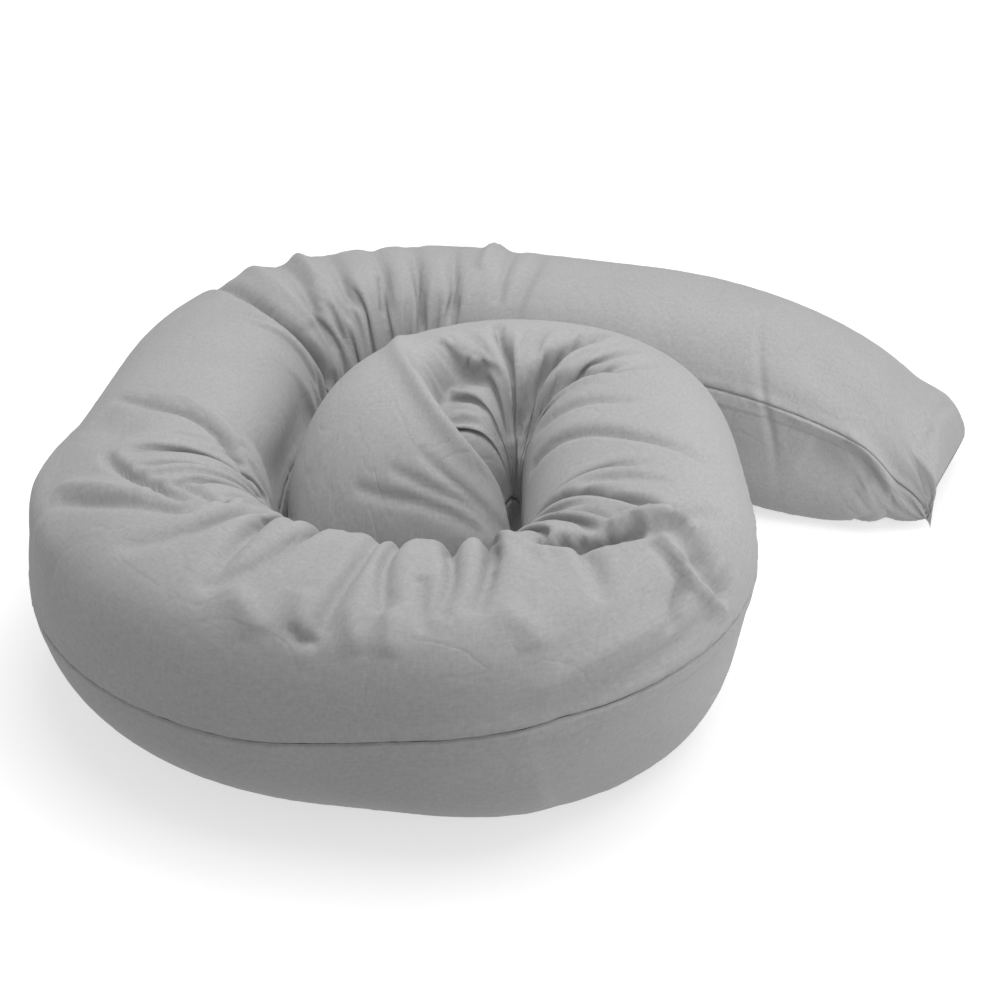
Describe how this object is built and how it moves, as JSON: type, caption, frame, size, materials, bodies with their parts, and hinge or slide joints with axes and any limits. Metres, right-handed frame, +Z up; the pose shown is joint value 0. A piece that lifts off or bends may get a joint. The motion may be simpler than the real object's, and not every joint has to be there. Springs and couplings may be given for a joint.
{
  "type": "body pillow",
  "caption": "Long stuffed body pillow in a plain light grey pillowcase, coiled into a floor nest with its inner end folded into the middle and its outer end running out as an arm.",
  "frame": {"origin": "on the floor under the middle of the coiled pillow's box", "axes": "+Z up, +X along the arm's side, the way the outer end runs out, -Y towards the open front of the nest"},
  "size_m": [1.0598, 0.983, 0.2603],
  "materials": {
    "case_cloth": "matt light grey polycotton, plain weave",
    "ticking_cloth": "matt white ticking",
    "fibre": "white hollow polyester fibre",
    "label_tape": "blank satin tape"
  },
  "bodies": {
    "root": {"case_upper_panel": "case_cloth", "case_lower_panel": "case_cloth", "case_outer_seam_allowance": "case_cloth", "case_inner_seam_allowance": "case_cloth", "case_end_seam_allowance": "case_cloth", "case_mouth_hem": "case_cloth", "case_tuck_in_flap": "case_cloth", "care_label": "label_tape", "ticking_upper_panel": "ticking_cloth", "ticking_lower_panel": "ticking_cloth", "ticking_outer_seam_allowance": "ticking_cloth", "ticking_inner_seam_allowance": "ticking_cloth", "fibre_fill": "fibre"}
  },
  "joints": []
}
